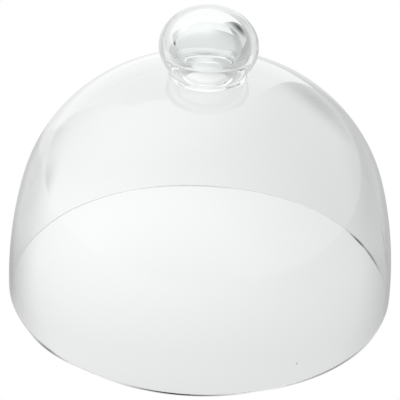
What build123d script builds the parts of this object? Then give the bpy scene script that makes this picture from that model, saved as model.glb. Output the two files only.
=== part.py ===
from build123d import *
import os
from math import asin, atan2, cos, degrees, hypot, pi, sin, sqrt

# Cake dome: a clear glass bell that stands on its rim over a cake, with a glass ball for a
# knob. The ball holds a closed bubble of air, and a thin collar of glass welds it to the crown.
# Sizes are millimetres. The origin is the middle of the rim's seat, and +Z points up.

# Bell: the outside line is three arcs that run smoothly into each other
RIM_RADIUS = 130.0  # outside of the wall at the seat, where the wall is upright
CROWN_HEIGHT = 158.0  # top of the bell's outside above the seat
SKIRT_ARC_RADIUS = 284.0  # slow inward lean of the lower wall
SHOULDER_ARC_RADIUS = 110.0  # round shoulder
CROWN_ARC_RADIUS = 185.0  # flatter cap that carries the knob
WALL = 2.2  # glass thickness of the bell
RIM_ROUND = 0.7  # fire-polished edges on each side of the seat

# Knob: a slightly flattened ball, cut flat at its foot, around a flattened bubble
KNOB_RADIUS = 31.75  # half of its width
KNOB_HALF_HEIGHT = 25.4  # half of its height, before the foot is cut
KNOB_FOOT_DEPTH = 17.0  # middle of the ball down to the flat foot
KNOB_SIDE_WALL = 10.75  # glass beside the bubble, at its widest
KNOB_TOP_WALL = 10.6  # glass above the bubble
KNOB_FOOT_WALL = 1.5  # glass between the bubble and the foot

# Collar: the weld of glass between the crown and the knob, with a hollow round for its edge
COLLAR_RISE = 0.4  # knob's foot above the top of the crown
COLLAR_CLIMB = 1.0  # how far the weld creeps up the ball above its foot

# Heights, radii and turns along the ball's side that follow from the sizes above
FOOT_Z = CROWN_HEIGHT + COLLAR_RISE
KNOB_Z = FOOT_Z + KNOB_FOOT_DEPTH
FOOT_RADIUS = KNOB_RADIUS * sqrt(1 - (KNOB_FOOT_DEPTH / KNOB_HALF_HEIGHT) ** 2)
FOOT_TURN = -asin(KNOB_FOOT_DEPTH / KNOB_HALF_HEIGHT)
CLIMB_TURN = asin((COLLAR_CLIMB - KNOB_FOOT_DEPTH) / KNOB_HALF_HEIGHT)


def bell_arcs():
    """Centre, radius and start angle of the skirt, shoulder and crown arcs of the bell's outside."""
    skirt = (RIM_RADIUS - SKIRT_ARC_RADIUS, 0.0)
    crown = (0.0, CROWN_HEIGHT - CROWN_ARC_RADIUS)
    # The shoulder touches both other arcs from inside, so its centre is where two circles cross.
    to_skirt = SKIRT_ARC_RADIUS - SHOULDER_ARC_RADIUS
    to_crown = CROWN_ARC_RADIUS - SHOULDER_ARC_RADIUS
    span = hypot(crown[0] - skirt[0], crown[1] - skirt[1])
    along = (to_skirt**2 - to_crown**2 + span**2) / (2 * span)
    aside = sqrt(to_skirt**2 - along**2)
    tilt = atan2(crown[1] - skirt[1], crown[0] - skirt[0])
    shoulder = (
        skirt[0] + along * cos(tilt) - aside * sin(tilt),
        skirt[1] + along * sin(tilt) + aside * cos(tilt),
    )
    skirt_end = atan2(shoulder[1] - skirt[1], shoulder[0] - skirt[0])
    shoulder_end = atan2(shoulder[1] - crown[1], shoulder[0] - crown[0])
    return [
        (skirt, SKIRT_ARC_RADIUS, 0.0, skirt_end),
        (shoulder, SHOULDER_ARC_RADIUS, skirt_end, shoulder_end),
        (crown, CROWN_ARC_RADIUS, shoulder_end, pi / 2),
    ]


def bell_line(depth):
    """Edges of the bell's line from rim to crown, a given depth inside the outer surface."""
    edges = []
    for centre, radius, start, end in bell_arcs():
        edges.append(CenterArc(centre, radius - depth, degrees(start), degrees(end - start)))
    return edges


def turned(section):
    """Solid made by turning a half section, drawn in X and Z, about the axis."""
    return revolve(Plane.XZ * section, Axis.Z).solid()


def section_of(edges):
    return make_face(Wire(edges))


def dome_shell():
    outer = bell_line(0.0)
    inner = bell_line(WALL)
    seat = Line(inner[0] @ 0, outer[0] @ 0)
    cap = Line(outer[-1] @ 1, inner[-1] @ 1)
    section = section_of([*outer, cap, *inner, seat])
    rim_corners = section.vertices().sort_by(Axis.Y)[:2]
    return turned(fillet(rim_corners, RIM_ROUND))


def collar_round():
    """Centre, radius, start and end angle of the hollow round that touches both crown and ball."""
    ball_point = (KNOB_RADIUS * cos(CLIMB_TURN), KNOB_Z + KNOB_HALF_HEIGHT * sin(CLIMB_TURN))
    slope = (cos(CLIMB_TURN) / KNOB_RADIUS, sin(CLIMB_TURN) / KNOB_HALF_HEIGHT)
    outward = (slope[0] / hypot(*slope), slope[1] / hypot(*slope))
    crown, crown_radius = bell_arcs()[-1][:2]
    away = (ball_point[0] - crown[0], ball_point[1] - crown[1])
    # The centre lies straight out from the ball, where the crown is as far away as the ball.
    along = away[0] * outward[0] + away[1] * outward[1]
    radius = (hypot(*away) ** 2 - crown_radius**2) / (2 * (crown_radius - along))
    centre = (ball_point[0] + radius * outward[0], ball_point[1] + radius * outward[1])
    start = atan2(crown[1] - centre[1], crown[0] - centre[0])
    end = atan2(-outward[1], -outward[0]) - 2 * pi
    return centre, radius, start, end


def knob_collar():
    crown, crown_radius = bell_arcs()[-1][:2]
    centre, radius, start, end = collar_round()
    under = CenterArc(crown, crown_radius, degrees(start + pi), degrees(-start - pi / 2))
    hollow = CenterArc(centre, radius, degrees(start), degrees(end - start))
    up_the_ball = EllipticalCenterArc(
        (0, KNOB_Z),
        KNOB_RADIUS,
        KNOB_HALF_HEIGHT,
        degrees(FOOT_TURN),
        arc_size=degrees(CLIMB_TURN - FOOT_TURN),
    )
    foot = Line((0, FOOT_Z), (FOOT_RADIUS, FOOT_Z))
    axis_line = Line((0, CROWN_HEIGHT), (0, FOOT_Z))
    return turned(section_of([under, hollow, up_the_ball, foot, axis_line]))


def flattened_ball(radius, half_height, middle_z):
    return Pos(0, 0, middle_z) * scale(Sphere(radius), by=(1, 1, half_height / radius))


def ball_knob():
    ball = flattened_ball(KNOB_RADIUS, KNOB_HALF_HEIGHT, KNOB_Z)
    ball = split(ball, Plane.XY.offset(FOOT_Z), keep=Keep.TOP)
    bubble_low = FOOT_Z + KNOB_FOOT_WALL
    bubble_high = KNOB_Z + KNOB_HALF_HEIGHT - KNOB_TOP_WALL
    bubble = flattened_ball(
        KNOB_RADIUS - KNOB_SIDE_WALL,
        (bubble_high - bubble_low) / 2,
        (bubble_high + bubble_low) / 2,
    )
    return (ball - bubble).solid()


PIECES = {
    "dome_shell": dome_shell,
    "knob_collar": knob_collar,
    "ball_knob": ball_knob,
}

os.makedirs("parts", exist_ok=True)
for name, make in PIECES.items():
    solid = make()
    export_step(solid, f"parts/{name}.step")
    box = solid.bounding_box()
    print(f"{name}: {solid.volume / 1000:.1f} cm3, z {box.min.Z:.2f} to {box.max.Z:.2f}, width {box.size.X:.2f}")
print(f"knob foot radius {FOOT_RADIUS:.2f}, foot at z {FOOT_Z:.2f}")
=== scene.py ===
# %% [markdown]
# # A glass cake dome
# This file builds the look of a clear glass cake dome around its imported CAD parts. The CAD parts
# give the true sizes and stay where they are. Every glass piece here stands in for one of them.
# Lengths are written in millimetres, as on a drawing, and multiplied by MM where Blender needs metres.
# Only the floor's size, the cards and the camera's distance are given in metres, since they are large.

from math import asin, atan2, cos, degrees, hypot, pi, radians, sin, sqrt

import bmesh
import bpy
from mathutils import Matrix, Vector


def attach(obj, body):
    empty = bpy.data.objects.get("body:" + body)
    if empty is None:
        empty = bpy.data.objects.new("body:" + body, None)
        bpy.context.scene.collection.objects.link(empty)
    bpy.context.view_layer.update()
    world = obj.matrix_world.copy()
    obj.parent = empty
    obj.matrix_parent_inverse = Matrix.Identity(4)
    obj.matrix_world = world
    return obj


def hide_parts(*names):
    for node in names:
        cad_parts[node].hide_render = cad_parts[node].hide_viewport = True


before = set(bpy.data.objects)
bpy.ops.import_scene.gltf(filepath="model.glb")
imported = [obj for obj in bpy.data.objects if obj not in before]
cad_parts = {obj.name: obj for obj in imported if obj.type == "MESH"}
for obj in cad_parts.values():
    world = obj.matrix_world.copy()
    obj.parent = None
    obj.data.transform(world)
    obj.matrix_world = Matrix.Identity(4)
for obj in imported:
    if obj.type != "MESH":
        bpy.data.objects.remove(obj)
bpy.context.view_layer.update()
MM = 0.001
print("CAD nodes:", sorted(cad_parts))

# %% [markdown]
# ## Sizes of the bell
# The bell is blown, so its outside has no corner: a slow lean at the skirt, a round shoulder and a
# flatter crown run into each other. Three arcs that touch smoothly describe it with five numbers.
# A free-hand curve could follow the photograph too, but it would have dozens of numbers, and none
# of them could be measured on a real dome.

# %% Bell sizes
RIM_RADIUS = 130.0  # outside of the wall at the seat
CROWN_HEIGHT = 158.0  # top of the outside above the seat
SKIRT_ARC_RADIUS = 284.0  # slow inward lean of the lower wall
SHOULDER_ARC_RADIUS = 110.0  # round shoulder
CROWN_ARC_RADIUS = 185.0  # flatter cap that carries the knob
WALL = 2.2  # thickness of the glass
RIM_ROUND = 0.7  # softened edges on each side of the seat


def bell_arcs():
    """Centre, radius, start and end angle of the skirt, shoulder and crown arcs of the outside."""
    skirt = (RIM_RADIUS - SKIRT_ARC_RADIUS, 0.0)
    crown = (0.0, CROWN_HEIGHT - CROWN_ARC_RADIUS)
    # The shoulder touches both other arcs from inside, so its centre is where two circles cross.
    to_skirt = SKIRT_ARC_RADIUS - SHOULDER_ARC_RADIUS
    to_crown = CROWN_ARC_RADIUS - SHOULDER_ARC_RADIUS
    span = hypot(crown[0] - skirt[0], crown[1] - skirt[1])
    along = (to_skirt**2 - to_crown**2 + span**2) / (2 * span)
    aside = sqrt(to_skirt**2 - along**2)
    tilt = atan2(crown[1] - skirt[1], crown[0] - skirt[0])
    shoulder = (
        skirt[0] + along * cos(tilt) - aside * sin(tilt),
        skirt[1] + along * sin(tilt) + aside * cos(tilt),
    )
    first_join = atan2(shoulder[1] - skirt[1], shoulder[0] - skirt[0])
    second_join = atan2(shoulder[1] - crown[1], shoulder[0] - crown[0])
    return [
        (skirt, SKIRT_ARC_RADIUS, 0.0, first_join),
        (shoulder, SHOULDER_ARC_RADIUS, first_join, second_join),
        (crown, CROWN_ARC_RADIUS, second_join, pi / 2),
    ]


def crown_height_at(radius):
    """Height of the outside of the crown at a distance from the axis."""
    (_, middle_z), crown_radius, _, _ = bell_arcs()[-1]
    return middle_z + sqrt(crown_radius**2 - radius**2)


for _, radius, start, end in bell_arcs():
    print(f"arc of {radius:.0f} mm from {degrees(start):.1f} to {degrees(end):.1f} degrees")

# %% [markdown]
# ## Sizes of the knob
# The knob is a slightly flattened ball of glass with a bubble of air shut inside it. Its flat foot
# is welded to the crown through a collar of hot glass. Before it set, that glass crept a little way up
# the ball and out over the crown, so its edge is a hollow round that touches both without a corner.
# The bubble is what gives the knob its look: light that meets its top at a low angle is thrown back
# as in a mirror, and its floor bends the crown below into thin bright arcs.

# %% Knob sizes
KNOB_RADIUS = 31.75  # half of the ball's width
KNOB_HALF_HEIGHT = 25.4  # half of its height, before the foot is cut
KNOB_FOOT_DEPTH = 17.0  # middle of the ball down to its flat foot
KNOB_SIDE_WALL = 10.75  # glass beside the bubble, at its widest
KNOB_TOP_WALL = 10.6  # glass above the bubble
KNOB_FOOT_WALL = 1.5  # glass between the bubble and the foot
COLLAR_RISE = 0.4  # the ball's foot above the top of the crown
COLLAR_CLIMB = 1.0  # how far the weld creeps up the ball above its foot

FOOT_Z = CROWN_HEIGHT + COLLAR_RISE
KNOB_Z = FOOT_Z + KNOB_FOOT_DEPTH
KNOB_TOP = KNOB_Z + KNOB_HALF_HEIGHT
FOOT_RADIUS = KNOB_RADIUS * sqrt(1 - (KNOB_FOOT_DEPTH / KNOB_HALF_HEIGHT) ** 2)
FOOT_TURN = -asin(KNOB_FOOT_DEPTH / KNOB_HALF_HEIGHT)
CLIMB_TURN = asin((COLLAR_CLIMB - KNOB_FOOT_DEPTH) / KNOB_HALF_HEIGHT)


def collar_round():
    """Middle, radius, low and high angle of the hollow round between crown and ball."""
    on_ball = Vector((KNOB_RADIUS * cos(CLIMB_TURN), KNOB_Z + KNOB_HALF_HEIGHT * sin(CLIMB_TURN)))
    outward = Vector((cos(CLIMB_TURN) / KNOB_RADIUS, sin(CLIMB_TURN) / KNOB_HALF_HEIGHT)).normalized()
    crown_middle = Vector(bell_arcs()[-1][0])
    away = on_ball - crown_middle
    # The middle lies straight out from the ball, where the crown is as far away as the ball.
    radius = (away.length_squared - CROWN_ARC_RADIUS**2) / (2 * (CROWN_ARC_RADIUS - away.dot(outward)))
    middle = on_ball + radius * outward
    to_crown = crown_middle - middle
    return middle, radius, atan2(to_crown.y, to_crown.x), atan2(-outward.y, -outward.x) - 2 * pi


collar_middle, collar_hollow, collar_low, _ = collar_round()
COLLAR_RADIUS = collar_middle.x + collar_hollow * cos(collar_low)
print(f"collar: hollow round of {collar_hollow:.2f} mm, out to {COLLAR_RADIUS:.2f} mm from the axis")

# %% [markdown]
# ## Half sections
# Each piece is turned about one axis, so half of its section says everything about it. A half
# section here is a chain of points, radius and height in millimetres. It is drawn with the glass on
# its left, so that the turned faces point out of the glass. Points on a face that is melted to the
# next piece carry a mark, because no surface can be seen there.

# %% Lines of the half sections
STEP = 2.0  # length of an edge along a line
FEWEST_STEPS = 8  # on a short arc
PATCH_STEPS = 12  # from the axis to the collar's edge
FOOT_STEPS = 8  # from the axis to the edge of the ball's foot
SAME_PLACE = 1e-4  # points nearer than this are one point
WELD_MARGIN = 0.2  # between the weld's edge and the bell's next point


def arc_points(middle, radius, start, end, half_height=None):
    """Points along an arc of a circle or, with a half height, of an ellipse."""
    tall = radius if half_height is None else half_height
    count = max(FEWEST_STEPS, round(abs(end - start) * max(radius, tall) / STEP))
    turns = [start + (end - start) * i / count for i in range(count + 1)]
    return [(middle[0] + radius * cos(t), middle[1] + tall * sin(t)) for t in turns]


def bell_line(depth):
    """Points from rim to crown, a given depth inside the outside of the bell."""
    points = []
    for middle, radius, start, end in bell_arcs():
        points += arc_points(middle, radius - depth, start, end)
    return points


def crown_patch():
    """Points from the axis to the collar's edge, on the part of the crown that the collar covers."""
    radii = [COLLAR_RADIUS * i / PATCH_STEPS for i in range(PATCH_STEPS + 1)]
    return [(r, crown_height_at(r)) for r in radii]


def foot_line():
    """Points from the axis along the ball's flat foot, then up its side as far as the collar climbs."""
    foot = [(FOOT_RADIUS * i / FOOT_STEPS, FOOT_Z) for i in range(FOOT_STEPS + 1)]
    return foot + arc_points((0.0, KNOB_Z), KNOB_RADIUS, FOOT_TURN, CLIMB_TURN, KNOB_HALF_HEIGHT)


def chain(*parts):
    """Joins lists of (points, melted) into one chain, without doubled points."""
    points, melted = [], []
    for part, mark in parts:
        for point in part:
            if points and hypot(point[0] - points[-1][0], point[1] - points[-1][1]) < SAME_PLACE:
                melted[-1] = max(melted[-1], mark)
                continue
            points.append((max(point[0], 0.0), point[1]))
            melted.append(mark)
    # Rounding leaves the two ends a hair off the axis, which would open the pole.
    for end in (0, -1):
        points[end] = (0.0, points[end][1])
    return points, melted


print("the bell's outside has", len(bell_line(0.0)), "points")

# %% Draw the half sections


def bell_section():
    inner_radius = RIM_RADIUS - WALL
    above_rim = [p for p in bell_line(WALL) if p[1] > RIM_ROUND]
    inside = list(reversed(above_rim))
    inner_edge = arc_points((inner_radius + RIM_ROUND, RIM_ROUND), RIM_ROUND, pi, 1.5 * pi)
    outer_edge = arc_points((RIM_RADIUS - RIM_ROUND, RIM_ROUND), RIM_ROUND, 1.5 * pi, 2 * pi)
    free_from = COLLAR_RADIUS + WELD_MARGIN
    outside = [p for p in bell_line(0.0) if p[1] > RIM_ROUND and p[0] > free_from]
    weld = list(reversed(crown_patch()))
    return chain((inside + inner_edge + outer_edge + outside, 0.0), (weld, 1.0))


def collar_section():
    hollow = arc_points(*collar_round())
    return chain((crown_patch(), 1.0), (hollow[1:-1], 0.0), (list(reversed(foot_line())), 1.0))


def ball_section():
    side = arc_points((0.0, KNOB_Z), KNOB_RADIUS, CLIMB_TURN, pi / 2, KNOB_HALF_HEIGHT)
    return chain((foot_line(), 1.0), (side[1:], 0.0))


def bubble_section():
    low, high = FOOT_Z + KNOB_FOOT_WALL, KNOB_TOP - KNOB_TOP_WALL
    half_width = KNOB_RADIUS - KNOB_SIDE_WALL
    line = arc_points((0.0, (low + high) / 2), half_width, pi / 2, -pi / 2, (high - low) / 2)
    return chain((line, 0.0))


for draw in (bell_section, collar_section, ball_section, bubble_section):
    print(draw.__name__, "has", len(draw()[0]), "points")

# %% [markdown]
# ## One small function for nodes
# Materials and Geometry Nodes are both made of nodes with settings, values and links. One function
# that adds a node and fills it in keeps the trees below readable.

# %% Node helper and colours
WHITE = "#ffffff"


def add(tree, kind, inputs=None, **settings):
    """Adds a node, sets its properties, then fills or links its inputs."""
    made = tree.nodes.new(kind)
    for name, value in settings.items():
        setattr(made, name, value)
    for key, value in (inputs or {}).items():
        if isinstance(value, bpy.types.NodeSocket):
            tree.links.new(value, made.inputs[key])
        else:
            made.inputs[key].default_value = value
    return made


def linear(hex_colour):
    """An sRGB hex colour as the linear RGBA that Blender's shaders use."""
    channels = [int(hex_colour[i : i + 2], 16) / 255 for i in (1, 3, 5)]
    return [c / 12.92 if c <= 0.04045 else ((c + 0.055) / 1.055) ** 2.4 for c in channels] + [1.0]


def bare_material(name):
    """A new material with an empty node tree."""
    material = bpy.data.materials.new(name)
    material.use_nodes = True
    material.node_tree.nodes.clear()
    return material


print("white in linear light:", [round(c, 3) for c in linear(WHITE)])

# %% [markdown]
# ## Clear soda-lime glass
# The dome is clear soda-lime glass, blown in a mould and fire-polished, which leaves a surface
# as smooth as a liquid's. The eye sees it only by what it bends and mirrors: an index of 1.52
# mirrors 4 percent head on and nearly all at the edge. Thick glass takes a little more light than
# a thin wall and leans to grey-green, so the tint deepens from the bell to the knob. The rim was
# ground flat before its last polish, so the seat still scatters a little. The flame leaves faint
# ripples about a finger's width apart. They are drawn as a shallow bump.

# %% Glass material
WALL_TINT = "#fdfefe"
THICK_TINT = "#f8fbfa"
GLASS_IOR = 1.52
SEAT_ROUGHNESS = 0.2
SEAT_HEIGHT = 0.3  # where the ground face has given way to its polished edges
RIPPLE_LENGTH = 14.0  # from crest to crest
RIPPLE_HEIGHT = 0.004


def clear_glass():
    material = bare_material("fire_polished_soda_lime_glass")
    tree = material.node_tree
    place = add(tree, "ShaderNodeTexCoord").outputs["Object"]
    height = add(tree, "ShaderNodeSeparateXYZ", {0: place}).outputs["Z"]
    thick = {"Value": height, "From Min": CROWN_HEIGHT * MM, "From Max": KNOB_Z * MM}
    thick = add(tree, "ShaderNodeMapRange", thick)
    tint = {"Factor": thick.outputs["Result"], 6: linear(WALL_TINT), 7: linear(THICK_TINT)}
    tint = add(tree, "ShaderNodeMix", tint, data_type="RGBA")
    ground = {"Value": height, "From Max": SEAT_HEIGHT * MM, "To Min": SEAT_ROUGHNESS, "To Max": 0.0}
    ground = add(tree, "ShaderNodeMapRange", ground)
    ripple = {"Vector": place, "Scale": 1 / (RIPPLE_LENGTH * MM), "Detail": 1.0}
    ripple = add(tree, "ShaderNodeTexNoise", ripple)
    skin = {"Height": ripple.outputs[0], "Strength": 1.0, "Distance": RIPPLE_HEIGHT * MM}
    skin = add(tree, "ShaderNodeBump", skin)
    glass = add(
        tree,
        "ShaderNodeBsdfPrincipled",
        {
            "Base Color": tint.outputs[2],
            "Roughness": ground.outputs["Result"],
            "Normal": skin.outputs["Normal"],
            "Transmission Weight": 1.0,
            "IOR": GLASS_IOR,
        },
    )
    add(tree, "ShaderNodeOutputMaterial", {"Surface": glass.outputs["BSDF"]})
    return material


GLASS = clear_glass()
print("made", GLASS.name)

# %% [markdown]
# ## Melted joints
# Where the collar meets the ball and the crown, hot glass ran together, so no surface is left to
# bend or mirror light. The pieces stay separate, closed meshes, so their touching faces get a
# finish that lets light through unchanged. Leaving those faces out would open the meshes instead.

# %% Melted joint material


def melted_joint():
    material = bare_material("melted_glass_joint")
    tree = material.node_tree
    through = add(tree, "ShaderNodeBsdfTransparent")
    add(tree, "ShaderNodeOutputMaterial", {"Surface": through.outputs["BSDF"]})
    return material


MELTED = melted_joint()
print("made", MELTED.name)

# %% [markdown]
# ## Turning on the axis with Geometry Nodes
# A turned piece follows one rule: take the half section, carry it round the axis, and close the
# seam. Blender's Spin does this once and leaves a mesh. A Geometry Nodes tree keeps the rule, with
# its sizes as named inputs. A grid has one column per step round the axis and one row per point of
# the half section. Each grid point looks up its row's place and mark, and is turned by its column's
# angle. Blown glass is never quite even, so two inputs let the wall sway by a few hundredths of a
# millimetre, which is enough to make lines behind it waver slightly.

# %% Turning tree
TURN_STEPS = 240  # round the axis
SWAY_LENGTH = 46.0  # from one thick place in the wall to the next
SEAM_GAP = 0.002  # points nearer than this are joined
CREASE_ANGLE = radians(30)  # a sharper bend than this stays sharp
FULL_MARK = 0.99  # a face is melted only where all its corners are


def turning_tree():
    tree = bpy.data.node_groups.new("turn_on_axis", "GeometryNodeTree")
    face = tree.interface
    face.new_socket("Half Section", in_out="INPUT", socket_type="NodeSocketGeometry")
    for name, kind in (("Steps", "Int"), ("Sway", "Float"), ("Sway Length", "Float")):
        face.new_socket(name, in_out="INPUT", socket_type=f"NodeSocket{kind}")
    for name in ("Glass", "Joint"):
        face.new_socket(name, in_out="INPUT", socket_type="NodeSocketMaterial")
    face.new_socket("Turned", in_out="OUTPUT", socket_type="NodeSocketGeometry")
    given = add(tree, "NodeGroupInput").outputs
    section = given["Half Section"]
    position = add(tree, "GeometryNodeInputPosition").outputs[0]

    # A grid 1 m wide about the origin, with a column for each step and a row for each point
    rows = add(tree, "GeometryNodeAttributeDomainSize", {"Geometry": section}, component="MESH")
    rows = rows.outputs["Point Count"]
    columns = add(tree, "ShaderNodeMath", {0: given["Steps"], 1: 1.0}, operation="ADD").outputs[0]
    grid = {"Size X": 1.0, "Size Y": 1.0, "Vertices X": columns, "Vertices Y": rows}
    grid = add(tree, "GeometryNodeMeshGrid", grid)
    at = add(tree, "ShaderNodeSeparateXYZ", {0: position}).outputs
    round_share = add(tree, "ShaderNodeMath", {0: at["X"], 1: 0.5}, operation="ADD").outputs[0]
    row_share = add(tree, "ShaderNodeMath", {0: at["Y"], 1: 0.5}, operation="ADD").outputs[0]
    last_row = add(tree, "ShaderNodeMath", {0: rows, 1: 1.0}, operation="SUBTRACT").outputs[0]
    row = add(tree, "ShaderNodeMath", {0: row_share, 1: last_row}, operation="MULTIPLY").outputs[0]
    row = add(tree, "ShaderNodeMath", {0: row}, operation="ROUND").outputs[0]

    # Each grid point looks up its row of the half section
    place = {"Geometry": section, "Value": position, "Index": row}
    place = add(tree, "GeometryNodeSampleIndex", place, data_type="FLOAT_VECTOR", domain="POINT")
    mark = add(tree, "GeometryNodeInputNamedAttribute", {"Name": "melted"}, data_type="FLOAT")
    mark = mark.outputs["Attribute"]
    melted = {"Geometry": section, "Value": mark, "Index": row}
    melted = add(tree, "GeometryNodeSampleIndex", melted, data_type="FLOAT", domain="POINT")

    # Turn it about the axis, keep its mark, and close the seam and the poles
    angle = add(tree, "ShaderNodeMath", {0: round_share, 1: 2 * pi}, operation="MULTIPLY").outputs[0]
    turned = {"Vector": place.outputs["Value"], "Angle": angle}
    turned = add(tree, "ShaderNodeVectorRotate", turned, rotation_type="Z_AXIS")
    marked = {"Geometry": grid.outputs["Mesh"], "Name": "melted", "Value": melted.outputs["Value"]}
    marked = add(tree, "GeometryNodeStoreNamedAttribute", marked, data_type="FLOAT", domain="POINT")
    bent = {"Geometry": marked.outputs[0], "Position": turned.outputs[0]}
    bent = add(tree, "GeometryNodeSetPosition", bent)
    closed = {"Geometry": bent.outputs[0], "Distance": SEAM_GAP * MM}
    closed = add(tree, "GeometryNodeMergeByDistance", closed)

    # Slow sway of the wall, only inwards and nowhere on a joint
    per_metre = {0: 1.0, 1: given["Sway Length"]}
    per_metre = add(tree, "ShaderNodeMath", per_metre, operation="DIVIDE").outputs[0]
    noise = add(tree, "ShaderNodeTexNoise", {"Scale": per_metre, "Detail": 1.0}).outputs[0]
    free = add(tree, "ShaderNodeMath", {0: 1.0, 1: mark}, operation="SUBTRACT").outputs[0]
    share = add(tree, "ShaderNodeMath", {0: noise, 1: free}, operation="MULTIPLY").outputs[0]
    depth = add(tree, "ShaderNodeMath", {0: share, 1: given["Sway"]}, operation="MULTIPLY").outputs[0]
    inward = add(tree, "ShaderNodeMath", {0: depth, 1: -1.0}, operation="MULTIPLY").outputs[0]
    push = {0: add(tree, "GeometryNodeInputNormal").outputs[0], "Scale": inward}
    push = add(tree, "ShaderNodeVectorMath", push, operation="SCALE")
    swayed = {"Geometry": closed.outputs[0], "Offset": push.outputs[0]}
    swayed = add(tree, "GeometryNodeSetPosition", swayed)

    # Smooth faces, sharp only at the corners of joints
    smooth = {"Geometry": swayed.outputs[0], "Shade Smooth": True}
    smooth = add(tree, "GeometryNodeSetShadeSmooth", smooth)
    corner = {0: add(tree, "GeometryNodeInputMeshEdgeAngle").outputs["Unsigned Angle"], 1: CREASE_ANGLE}
    corner = add(tree, "FunctionNodeCompare", corner, operation="GREATER_THAN").outputs[0]
    creased = {"Geometry": smooth.outputs[0], "Selection": corner, "Shade Smooth": False}
    creased = add(tree, "GeometryNodeSetShadeSmooth", creased, domain="EDGE")

    # Glass everywhere, then the joint's finish where all corners of a face are marked
    glazed = {"Geometry": creased.outputs[0], "Material": given["Glass"]}
    glazed = add(tree, "GeometryNodeSetMaterial", glazed)
    on_joint = {0: mark, 1: FULL_MARK}
    on_joint = add(tree, "FunctionNodeCompare", on_joint, operation="GREATER_THAN").outputs[0]
    jointed = {"Geometry": glazed.outputs[0], "Selection": on_joint, "Material": given["Joint"]}
    jointed = add(tree, "GeometryNodeSetMaterial", jointed)
    solid = add(tree, "GeometryNodeRealizeInstances", {"Geometry": jointed.outputs[0]})
    add(tree, "NodeGroupOutput", {"Turned": solid.outputs[0]})
    return tree


TURN = turning_tree()
print("turning tree has", len(TURN.nodes), "nodes")

# %% [markdown]
# ## From half section to piece
# The half section becomes a chain of edges, the tree turns it, and the result is kept as a plain
# mesh. A piece with a bubble has two turned surfaces, one around the glass and one around the air.

# %% Turning helper
CUBIC_CM = 1e-6


def turned_mesh(section, sway=0.0, steps=TURN_STEPS):
    """The surface that a half section sweeps as it is carried round the axis."""
    points, melted = section
    outline = bpy.data.meshes.new("half_section")
    edges = [(i, i + 1) for i in range(len(points) - 1)]
    outline.from_pydata([(r * MM, 0.0, z * MM) for r, z in points], edges, [])
    outline.attributes.new("melted", "FLOAT", "POINT").data.foreach_set("value", melted)
    holder = bpy.data.objects.new("half_section", outline)
    bpy.context.scene.collection.objects.link(holder)
    turn = holder.modifiers.new("turn", "NODES")
    turn.node_group = TURN
    sizes = {
        "Steps": steps,
        "Sway": sway * MM,
        "Sway Length": SWAY_LENGTH * MM,
        "Glass": GLASS,
        "Joint": MELTED,
    }
    for item in TURN.interface.items_tree:
        if item.in_out == "INPUT" and item.name in sizes:
            turn[item.identifier] = sizes[item.name]
    graph = bpy.context.evaluated_depsgraph_get()
    mesh = bpy.data.meshes.new_from_object(holder.evaluated_get(graph))
    # The grid starts with an empty material slot, which no face uses.
    if mesh.materials[0] is None:
        mesh.materials.pop(index=0)
    bpy.data.objects.remove(holder)
    bpy.data.meshes.remove(outline)
    return mesh


def turned_piece(name, node_name, surfaces):
    """One closed piece from its turned surfaces, riding in place of its CAD node."""
    whole = bmesh.new()
    for surface in surfaces:
        whole.from_mesh(surface)
    mesh = surfaces[0]
    whole.to_mesh(mesh)
    volume = whole.calc_volume(signed=True) / CUBIC_CM
    open_edges = sum(1 for edge in whole.edges if not edge.is_manifold)
    whole.free()
    mesh.attributes.remove(mesh.attributes["melted"])
    mesh.name = name
    piece = bpy.data.objects.new(name, mesh)
    bpy.context.scene.collection.objects.link(piece)
    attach(piece, "root")
    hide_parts(node_name)
    slots = [material.name for material in mesh.materials]
    print(f"{name}: {len(mesh.polygons)} faces, {volume:.1f} cm3, {open_edges} open edges, {slots}")


print("each piece is turned in", TURN_STEPS, "steps")

# %% [markdown]
# ## A seed in the glass
# Blown glass nearly always holds a few tiny bubbles, which glassmakers call seeds, drawn out along the
# wall as the bell is blown. The photograph shows one, low in front on the right. A dark dot in the
# material would be simpler, but it would stay dark from every side. A small surface around real air
# bends and mirrors the light as a seed does, and the turning tree makes it with fewer steps.

# %% Make the seed
SEED_HALF_WIDTH = 0.45
SEED_HALF_HEIGHT = 0.9
SEED_AZIMUTH = radians(-61.3)
SEED_Z = 14.6  # above the seat
SEED_STEPS = 24


def seed_mesh():
    line = arc_points((0.0, 0.0), SEED_HALF_WIDTH, pi / 2, -pi / 2, SEED_HALF_HEIGHT)
    mesh = turned_mesh(chain((line, 0.0)), steps=SEED_STEPS)
    (skirt_x, skirt_z), skirt_radius, _, _ = bell_arcs()[0]
    mid_wall = skirt_x + sqrt(skirt_radius**2 - (SEED_Z - skirt_z) ** 2) - WALL / 2
    place = Vector((mid_wall * cos(SEED_AZIMUTH), mid_wall * sin(SEED_AZIMUTH), SEED_Z)) * MM
    mesh.transform(Matrix.Translation(place))
    return mesh


seed = seed_mesh()
seed_top = max(vertex.co.z for vertex in seed.vertices) / MM
print(f"seed: {len(seed.polygons)} faces, reaching {seed_top:.2f} mm up")

# %% [markdown]
# ## The bell
# The bell is one wall of even thickness from crown to rim. Its two rim edges were softened by the
# flame, and the flat between them is what stands on the plate.

# %% Make the bell
BELL_SWAY = 0.04  # deepest place of the sway
turned_piece("bell_wall", "dome_shell", [turned_mesh(bell_section(), BELL_SWAY), seed])

# %% [markdown]
# ## The collar and the ball
# A gather of hot glass is set on the crown and spreads to a collar, and the ball is pressed on it.

# %% Make the knob
turned_piece("welded_collar", "knob_collar", [turned_mesh(collar_section())])
turned_piece("knob_ball", "ball_knob", [turned_mesh(ball_section()), turned_mesh(bubble_section())])

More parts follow.
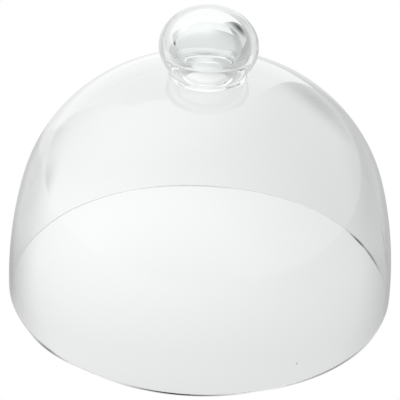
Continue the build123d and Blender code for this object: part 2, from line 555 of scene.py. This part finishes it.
# %% [markdown]
# ## Paper strip
# Clear glass has hardly any colour of its own, so what stands round it draws it. The usual way to show
# it on white is a strip of white paper no wider than the object. Through the middle of the glass one
# sees paper, and the edges of the glass bend the view sideways, past the paper's edge, and turn grey.
# The strip could be a second sheet on the floor. Here one floor carries both, because two sheets this close
# would show a thin edge in the glass. The strip is round in front. Behind the dome it opens out and bears
# away to the left. Most of the stage's places and levels, here and below, were found by a search that
# compared small renders with the photograph. They were rounded, and some were then changed one by one.

# %% Strip on the floor
STRIP_HALF = 126.0  # half of its width at the dome
STRIP_SOFT = 0.12  # share of that half over which its edge fades, to each side
STRIP_ROUND_AT = 35.0  # where the round front starts
STRIP_IN_FRONT = 215.0  # how far the round front reaches
STRIP_OPENS_AT = 230.0  # where it starts to open out
STRIP_OPENS_TO = 1200.0  # where it is widest
STRIP_WIDENS = 7.6  # how many widths it gains
STRIP_MIDDLE = -1.0  # its middle at the dome
STRIP_FAR_MIDDLE = -710.0  # its middle where it is widest


def paper_strip(tree, at):
    """How far a place is on the strip: 1 on the paper, 0 on the table, soft between them."""
    behind = {"Value": at["Y"], "From Min": STRIP_OPENS_AT * MM, "From Max": STRIP_OPENS_TO * MM}
    middle = behind | {"To Min": STRIP_MIDDLE * MM, "To Max": STRIP_FAR_MIDDLE * MM}
    middle = add(tree, "ShaderNodeMapRange", middle)
    widen = behind | {"To Min": 1.0, "To Max": 1.0 + STRIP_WIDENS}
    widen = add(tree, "ShaderNodeMapRange", widen)
    across = add(tree, "ShaderNodeMath", {0: at["X"], 1: middle.outputs[0]}, operation="SUBTRACT")
    front = {"From Min": (STRIP_ROUND_AT - STRIP_IN_FRONT) * MM, "From Max": STRIP_ROUND_AT * MM}
    front |= {"Value": at["Y"], "To Min": STRIP_HALF * MM, "To Max": 0.0}
    ahead = add(tree, "ShaderNodeMapRange", front, clamp=False)
    ahead = add(tree, "ShaderNodeMath", {0: ahead.outputs[0], 1: 0.0}, operation="MAXIMUM")
    from_middle = add(tree, "ShaderNodeCombineXYZ", {"X": across.outputs[0], "Y": ahead.outputs[0]})
    reach = add(tree, "ShaderNodeVectorMath", {0: from_middle.outputs[0]}, operation="LENGTH")
    share = {0: reach.outputs["Value"], 1: widen.outputs[0]}
    share = add(tree, "ShaderNodeMath", share, operation="DIVIDE")
    edge = {"From Min": STRIP_HALF * (1 + STRIP_SOFT) * MM, "From Max": STRIP_HALF * (1 - STRIP_SOFT) * MM}
    edge |= {"Value": share.outputs[0]}
    on_paper = add(tree, "ShaderNodeMapRange", edge, interpolation_type="SMOOTHSTEP")
    return on_paper.outputs[0]


strip_far_half = STRIP_HALF * (1 + STRIP_WIDENS)
print(f"strip: {2 * STRIP_HALF:.0f} mm wide at the dome, {2 * strip_far_half:.0f} mm at its far end")

# %% [markdown]
# ## Painted light on the floor
# A lamp behind on the left would leave a soft pool of light on the paper, drawn out away from the camera,
# and the bright backdrop would light the floor on the left, the more the nearer it is. The table far on the
# right would get the least. A real lamp would light the glass as well and put hard sparks on it, so the
# pool, the backdrop's light on the left and the dimmer far right are painted light: levels that the floor
# sends out, the pool's falling off from its middle. The floor in front runs into the unlit end of the room,
# at the same level as the room there, or the glass would show a line where the two meet.

# %% Levels of light
WORLD_LEVEL = 0.75  # the grey room
POOL_AT = (-75.0, 50.0)  # middle of the pool
POOL_RADIUS = 262.0  # how far it reaches
POOL_STRETCH = 0.85  # distances behind its middle count this much
POOL_BRIGHT = 0.99  # in the middle of the pool
PAPER_LEVEL = 0.74  # on the paper, outside the pool
TABLE_LEVEL = 0.58  # beside the paper
FAR_RIGHT_LEVEL = 0.48  # on the table, far on the right
FAR_RIGHT_FROM = 250.0  # where it starts to get darker
FAR_RIGHT_TO = 500.0  # where it is darkest
SPILL_TO = 1300.0  # how far behind the dome the backdrop's light grows
SPILL_GAIN = 0.31  # what it adds there
SPILL_ENDS = 170.0  # how far to the right it fades out


def toward(azimuth, elevation):
    """Direction from the dome, with azimuth 0 on the right and 90 away from the camera."""
    a, e = radians(azimuth), radians(elevation)
    return Vector((cos(e) * cos(a), cos(e) * sin(a), sin(e)))


# Unlit end of the room, in front on the left: its distance and reach are in metres
UNLIT_AZIMUTH = -110
UNLIT_DISTANCE = 3.0
UNLIT_MIDDLE = toward(UNLIT_AZIMUTH, 0) * UNLIT_DISTANCE
UNLIT_REACH = 3.6
UNLIT_LEVEL = 0.4
UNLIT_FLOOR_FROM = -300.0  # where the floor starts to run into it
UNLIT_FLOOR_TO = -1800.0  # where the floor has its level
print(f"floor: paper from {POOL_BRIGHT} in the pool to {PAPER_LEVEL}, table {TABLE_LEVEL}")

# %% Light on the floor


def paper_light(tree, at):
    """Level of light on the paper, which falls off from the middle of the pool."""
    pool_x = add(tree, "ShaderNodeMath", {0: at["X"], 1: POOL_AT[0] * MM}, operation="SUBTRACT")
    pool_y = add(tree, "ShaderNodeMath", {0: at["Y"], 1: POOL_AT[1] * MM}, operation="SUBTRACT")
    drawn_out = add(tree, "ShaderNodeMath", {0: pool_y.outputs[0], 1: POOL_STRETCH}, operation="MULTIPLY")
    nearer = {0: pool_y.outputs[0], 1: drawn_out.outputs[0]}
    nearer = add(tree, "ShaderNodeMath", nearer, operation="MINIMUM")
    from_pool = add(tree, "ShaderNodeCombineXYZ", {"X": pool_x.outputs[0], "Y": nearer.outputs[0]})
    away = add(tree, "ShaderNodeVectorMath", {0: from_pool.outputs[0]}, operation="LENGTH")
    fall = {"From Max": POOL_RADIUS * MM, "To Min": POOL_BRIGHT, "To Max": PAPER_LEVEL}
    fall |= {"Value": away.outputs["Value"]}
    return add(tree, "ShaderNodeMapRange", fall, interpolation_type="SMOOTHSTEP").outputs[0]


def table_light(tree, at):
    """Level of light on the table, less on the right and that of the room at its front end."""
    rightward = {"Value": at["X"], "From Min": FAR_RIGHT_FROM * MM, "From Max": FAR_RIGHT_TO * MM}
    rightward |= {"To Min": TABLE_LEVEL, "To Max": FAR_RIGHT_LEVEL}
    rightward = add(tree, "ShaderNodeMapRange", rightward)
    flat = add(tree, "ShaderNodeCombineXYZ", {"X": at["X"], "Y": at["Y"]})
    from_end = {0: flat.outputs[0], 1: UNLIT_MIDDLE}
    from_end = add(tree, "ShaderNodeVectorMath", from_end, operation="DISTANCE")
    room = {"From Max": UNLIT_REACH, "To Min": UNLIT_LEVEL, "To Max": WORLD_LEVEL}
    room |= {"Value": from_end.outputs["Value"]}
    room = add(tree, "ShaderNodeMapRange", room, interpolation_type="SMOOTHSTEP")
    forward = {"Value": at["Y"], "From Min": UNLIT_FLOOR_FROM * MM, "From Max": UNLIT_FLOOR_TO * MM}
    forward = add(tree, "ShaderNodeMapRange", forward)
    table = {"Factor": forward.outputs[0], 2: rightward.outputs[0], 3: room.outputs[0]}
    return add(tree, "ShaderNodeMix", table, data_type="FLOAT").outputs[0]


def floor_light(tree, at):
    """Level of light at a place on the floor, as the glass shows it."""
    mixed = {"Factor": paper_strip(tree, at), 2: table_light(tree, at), 3: paper_light(tree, at)}
    mixed = add(tree, "ShaderNodeMix", mixed, data_type="FLOAT")
    # painted light: the backdrop's light spilling onto the floor on the left, growing behind the dome
    far = {"Value": at["Y"], "From Max": SPILL_TO * MM, "To Max": SPILL_GAIN}
    far = add(tree, "ShaderNodeMapRange", far)
    left = {"Value": at["X"], "From Max": SPILL_ENDS * MM, "To Min": 1.0, "To Max": 0.0}
    left = add(tree, "ShaderNodeMapRange", left)
    spill = add(tree, "ShaderNodeMath", {0: far.outputs[0], 1: left.outputs[0]}, operation="MULTIPLY")
    level = add(tree, "ShaderNodeMath", {0: mixed.outputs[0], 1: spill.outputs[0]}, operation="ADD")
    return level.outputs[0]


print("unlit end of the room around", [round(c, 2) for c in UNLIT_MIDDLE], "m")

# %% [markdown]
# ## Shade round the dome
# The glass takes a little of the light that crosses it, so the dome throws a soft shade on the floor round
# it. That makes the floor look brighter inside the rim than behind it, and the rim shows as the edge
# between the two. A ray that carries light through two walls of glass rarely finds a lamp, so a render
# would need very many of them. The shade is drawn as three soft patches instead, cut off at the rim.

# %% Shade
# Place of a patch's middle and its reach in millimetres, and the share of light that it takes there
SHADES = ((110, 70, 260, 0.11), (145, -30, 110, 0.1), (-140, -20, 120, 0.22))


def dome_shade(tree, at):
    """Share of the light that is left round the dome."""
    flat = add(tree, "ShaderNodeCombineXYZ", {"X": at["X"], "Y": at["Y"]}).outputs[0]
    from_axis = add(tree, "ShaderNodeVectorMath", {0: flat}, operation="LENGTH").outputs["Value"]
    outside = {0: from_axis, 1: RIM_RADIUS * MM}
    outside = add(tree, "ShaderNodeMath", outside, operation="GREATER_THAN").outputs[0]
    left = 1.0
    for x, y, reach, depth in SHADES:
        middle = Vector((x, y, 0.0)) * MM
        away = add(tree, "ShaderNodeVectorMath", {0: flat, 1: middle}, operation="DISTANCE")
        shade = {"Value": away.outputs["Value"], "From Max": reach * MM, "To Min": depth, "To Max": 0.0}
        shade = add(tree, "ShaderNodeMapRange", shade, interpolation_type="SMOOTHSTEP")
        taken = add(tree, "ShaderNodeMath", {0: shade.outputs[0], 1: outside}, operation="MULTIPLY")
        left = add(tree, "ShaderNodeMath", {0: left, 1: taken.outputs[0]}, operation="SUBTRACT").outputs[0]
    return left


print(f"shade: {len(SHADES)} patches, at most {max(patch[-1] for patch in SHADES):.0%} deep")

# %% [markdown]
# ## Painted shadow under the rim
# Hardly any light gets into the narrow gap under the ground seat, so a thin line of painted shadow is drawn
# into the floor's glow round the rim. A ground seat is never quite flat. The line is painted darker and a
# little wider at five places, as if the seat rested more firmly there, and the one on the right is darkest
# at its far end. Elsewhere no line is left. Ambient Occlusion finds the gap, since it measures how much of
# the sky a place can see. At the foot of a wall that is about half, so the shadow is full from there down.
# Tilting the rim by hundredths of a millimetre would do the same, but it would hardly show in a render.

# %% Shadow line
SHADOW_REACH = 0.8  # reach where the painted shadow is faintest
DARKEST_SHADOW_REACH = 1.6  # reach where the painted shadow is darkest
SKY_AT_WALL = 0.6  # a place that sees no more of the sky than this is in full shadow
SKY_SAMPLES = 16
# Azimuth and half width in degrees, and how dark the painted shadow line is there
PAINTED_SHADOW_PLACES = (
    (-137, 13, 0.75),
    (-95, 25, 1.0),
    (-48, 30, 0.7),
    (17, 14, 0.85),
    (26, 9, 1.0),
    (92, 24, 0.35),
)


def rim_shadow(tree, at):
    """Share of the light that is left at a place near the rim."""
    turn = add(tree, "ShaderNodeMath", {0: at["Y"], 1: at["X"]}, operation="ARCTAN2").outputs[0]
    # how dark the painted shadow line is at this place round the rim
    rests = 0.0
    for azimuth, half_width, darkness in PAINTED_SHADOW_PLACES:
        away = add(tree, "ShaderNodeMath", {0: turn, 1: radians(azimuth)}, operation="SUBTRACT")
        away = add(tree, "ShaderNodeMath", {0: away.outputs[0]}, operation="ABSOLUTE")
        near = {"Value": away.outputs[0], "From Max": radians(half_width)}
        near |= {"To Min": darkness, "To Max": 0.0}
        near = add(tree, "ShaderNodeMapRange", near, interpolation_type="SMOOTHSTEP")
        rests = add(tree, "ShaderNodeMath", {0: near.outputs[0], 1: rests}, operation="MAXIMUM").outputs[0]
    reach = {"Value": rests, "To Min": SHADOW_REACH * MM, "To Max": DARKEST_SHADOW_REACH * MM}
    reach = add(tree, "ShaderNodeMapRange", reach)
    sky = add(tree, "ShaderNodeAmbientOcclusion", {"Distance": reach.outputs[0]}, samples=SKY_SAMPLES)
    blocked = {"Value": sky.outputs["AO"], "From Min": SKY_AT_WALL, "To Min": 1.0, "To Max": 0.0}
    blocked = add(tree, "ShaderNodeMapRange", blocked)
    taken = add(tree, "ShaderNodeMath", {0: blocked.outputs[0], 1: rests}, operation="MULTIPLY")
    left = add(tree, "ShaderNodeMath", {0: 1.0, 1: taken.outputs[0]}, operation="SUBTRACT")
    return left.outputs[0]


# painted shadow: the stretches are where the line is painted darker
print(f"shadow: up to {DARKEST_SHADOW_REACH} mm wide, from {len(PAINTED_SHADOW_PLACES)} stretches where the seat rests")

# %% [markdown]
# ## Floor sheet
# The camera sees the floor as plain white with the thin painted shadow, and only the glass sees the strip,
# the painted pool of light and the painted shade. They are given as light that the floor sends out, so that
# a white of 1 renders as white. To all other light the floor is plain white paper. It lies a hair below the
# rim's seat, because two faces in one place would flicker.

# %% Make the floor
PAPER_COLOUR = "#e8e8e8"
FLOOR_HALF = 4.0  # metres
FLOOR_BELOW_SEAT = 0.2  # millimetres


def floor_with_painted_light():
    material = bare_material("paper_on_grey_table_with_painted_light")
    tree = material.node_tree
    place = add(tree, "ShaderNodeTexCoord").outputs["Object"]
    at = add(tree, "ShaderNodeSeparateXYZ", {0: place}).outputs
    ray = add(tree, "ShaderNodeLightPath").outputs
    # painted light and shade: the glass sees the painted pool of light times the painted shade round the
    # dome
    in_glass = {0: floor_light(tree, at), 1: dome_shade(tree, at)}
    in_glass = add(tree, "ShaderNodeMath", in_glass, operation="MULTIPLY").outputs[0]
    level = {"Factor": ray["Is Camera Ray"], 2: in_glass, 3: 1.0}
    level = add(tree, "ShaderNodeMix", level, data_type="FLOAT")
    # painted shadow: the thin line under the rim, seen by the camera and the glass alike
    shown = {0: level.outputs[0], 1: rim_shadow(tree, at)}
    shown = add(tree, "ShaderNodeMath", shown, operation="MULTIPLY")
    glow = add(tree, "ShaderNodeEmission", {"Color": linear(WHITE), "Strength": shown.outputs[0]})
    paper = add(tree, "ShaderNodeBsdfDiffuse", {"Color": linear(PAPER_COLOUR)})
    bent = {0: ray["Is Glossy Ray"], 1: ray["Is Transmission Ray"]}
    bent = add(tree, "ShaderNodeMath", bent, operation="MAXIMUM")
    seen = {0: bent.outputs[0], 1: ray["Is Camera Ray"]}
    seen = add(tree, "ShaderNodeMath", seen, operation="MAXIMUM")
    mixed = add(tree, "ShaderNodeMixShader", {0: seen.outputs[0], 1: paper.outputs[0], 2: glow.outputs[0]})
    add(tree, "ShaderNodeOutputMaterial", {"Surface": mixed.outputs[0]})
    return material


def sheet(name, corners, material):
    """A flat sheet of the stage."""
    mesh = bpy.data.meshes.new(name)
    mesh.from_pydata(corners, [], [tuple(range(len(corners)))])
    mesh.materials.append(material)
    made = bpy.data.objects.new(name, mesh)
    bpy.context.scene.collection.objects.link(made)
    return made


half = FLOOR_HALF
under = -FLOOR_BELOW_SEAT * MM
corners = [(-half, -half, under), (half, -half, under), (half, half, under), (-half, half, under)]
sheet("floor", corners, floor_with_painted_light())
print(f"floor: {2 * half:.0f} m wide, {FLOOR_BELOW_SEAT} mm below the seat")

# %% [markdown]
# ## Cards around the glass
# A photographer draws glass with cards: white ones fill it with light, and black ones, called flags, put
# dark lines along its edges. A white backdrop stands behind the dome here, a large soft light hangs over it
# on the left, a flag stands at each side, and the unlit end of the room is behind the camera. Cards with
# sharp edges showed as plain rectangles in the bell, so all but the backdrop fade into the grey of the room.
# The camera itself doesn't see them.

# %% Card finishes


def card_finish(name, level, middle=None, reach=None):
    """An even card or, with a middle and a reach in metres, one that fades into the room."""
    material = bare_material(name)
    tree = material.node_tree
    glow = add(tree, "ShaderNodeEmission", {"Color": linear(WHITE), "Strength": level})
    if middle is not None:
        place = add(tree, "ShaderNodeTexCoord").outputs["Object"]
        away = add(tree, "ShaderNodeVectorMath", {0: place, 1: middle}, operation="DISTANCE")
        fade = {"Value": away.outputs["Value"], "From Max": reach, "To Min": level, "To Max": WORLD_LEVEL}
        fade = add(tree, "ShaderNodeMapRange", fade, interpolation_type="SMOOTHSTEP")
        tree.links.new(fade.outputs[0], glow.inputs["Strength"])
    add(tree, "ShaderNodeOutputMaterial", {"Surface": glow.outputs[0]})
    return material


print("soft cards fade to", WORLD_LEVEL, "at their edges")

# %% Make the cards


def even_card(name, azimuths, distance, heights, level):
    """A flat upright card from one azimuth to another, seen only in the glass."""
    ends = [toward(a, 0) * distance for a in azimuths]
    corners = [(end.x, end.y, z) for end, z in zip(ends + ends[::-1], sorted(heights * 2))]
    made = sheet(name, corners, card_finish(name, level))
    made.visible_camera = False
    print(f"{name}: from {azimuths[0]} to {azimuths[1]} degrees, level {level}")


def soft_card(name, azimuth, elevation, distance, reach, level):
    """A card that faces the dome and fades into the room, seen only in the glass."""
    middle = toward(azimuth, elevation) * distance
    side = Vector((0, 0, 1)).cross(middle).normalized() * reach
    up = middle.cross(side).normalized() * reach
    corners = [middle - side - up, middle + side - up, middle + side + up, middle - side + up]
    made = sheet(name, corners, card_finish(name, level, middle, reach))
    made.visible_camera = False
    print(f"{name}: at {azimuth} degrees, {elevation} degrees up, {2 * reach} m wide, level {level}")


even_card("white_backdrop", azimuths=(71, 127), distance=2.4, heights=(0.0, 3.2), level=1.04)
soft_card("black_flag_right", azimuth=61, elevation=14, distance=2.8, reach=1.0, level=0.03)
soft_card("grey_flag_left", azimuth=153, elevation=1, distance=2.8, reach=0.55, level=0.0)
soft_card("soft_light", azimuth=121, elevation=54, distance=3.2, reach=3.5, level=1.4)
soft_card("dark_room_in_front", UNLIT_AZIMUTH, 0, UNLIT_DISTANCE, UNLIT_REACH, UNLIT_LEVEL)

# %% [markdown]
# ## Room
# The room around the cards is an even grey, which the glass shows wherever it doesn't see a card. The
# camera sees it as white, so the dome stands on white as in the photograph. No lamp is needed: the cards
# and the room are light enough, and a small lamp would leave sparks that the photograph doesn't have.

# %% Make the room
world = bpy.data.worlds.new("grey_studio")
bpy.context.scene.world = world
world.use_nodes = True
tree = world.node_tree
tree.nodes.clear()
ray = add(tree, "ShaderNodeLightPath")
room = {"Factor": ray.outputs["Is Camera Ray"], 2: WORLD_LEVEL, 3: 1.0}
level = add(tree, "ShaderNodeMix", room, data_type="FLOAT")
sky = add(tree, "ShaderNodeBackground", {"Color": linear(WHITE), "Strength": level.outputs[0]})
add(tree, "ShaderNodeOutputWorld", {"Surface": sky.outputs[0]})
print(f"room: level {WORLD_LEVEL}")

# %% [markdown]
# ## Light inside thick glass
# Light that gets into the knob is thrown back and forth between its skin and the bubble many times before
# it leaves. The renderer gives up on a path after a set number of bounces and paints the rest black. The
# usual number leaves a black ring in the knob, so the limits are raised until the ring is gone.

# %% Bounces of light
BOUNCES = 128
paths = bpy.context.scene.cycles
paths.max_bounces = BOUNCES
paths.transmission_bounces = BOUNCES
paths.glossy_bounces = BOUNCES
paths.transparent_max_bounces = BOUNCES
print("paths may bounce", BOUNCES, "times")

# %% [markdown]
# ## Camera
# The photograph looks down on the dome by about 30 degrees. How round the rim looks gives that angle. How
# much smaller its far side looks than its near side gives the distance, but only roughly. A metre fits
# well, and half as much again fits almost as well. The lens then follows from the dome's width in the
# picture. The dome leans by 2 degrees there, so the camera is rolled. Turning the dome instead would tilt
# it off the floor.

# %% Make the camera
LOOK_AT = Vector((-1.807, 0.0, 62.70)) * MM
CAMERA_DISTANCE = 1.04  # metres
CAMERA_TILT = radians(30.577)
CAMERA_ROLL = radians(2.217)
SENSOR = 36.0
FOCAL_PIXELS = 1559.6
FRAME_PIXELS = 400
lens = bpy.data.cameras.new("camera")
lens.sensor_width = SENSOR
lens.lens = FOCAL_PIXELS / FRAME_PIXELS * SENSOR
camera = bpy.data.objects.new("camera", lens)
bpy.context.scene.collection.objects.link(camera)
spot = LOOK_AT + CAMERA_DISTANCE * Vector((0.0, -cos(CAMERA_TILT), sin(CAMERA_TILT)))
aim = (LOOK_AT - spot).to_track_quat("-Z", "Y").to_matrix().to_4x4()
camera.matrix_world = Matrix.Translation(spot) @ aim @ Matrix.Rotation(CAMERA_ROLL, 4, "Z")
bpy.context.scene.camera = camera
bpy.context.scene.view_settings.view_transform = "Standard"
print(f"lens {lens.lens:.1f} mm at {CAMERA_DISTANCE} m")
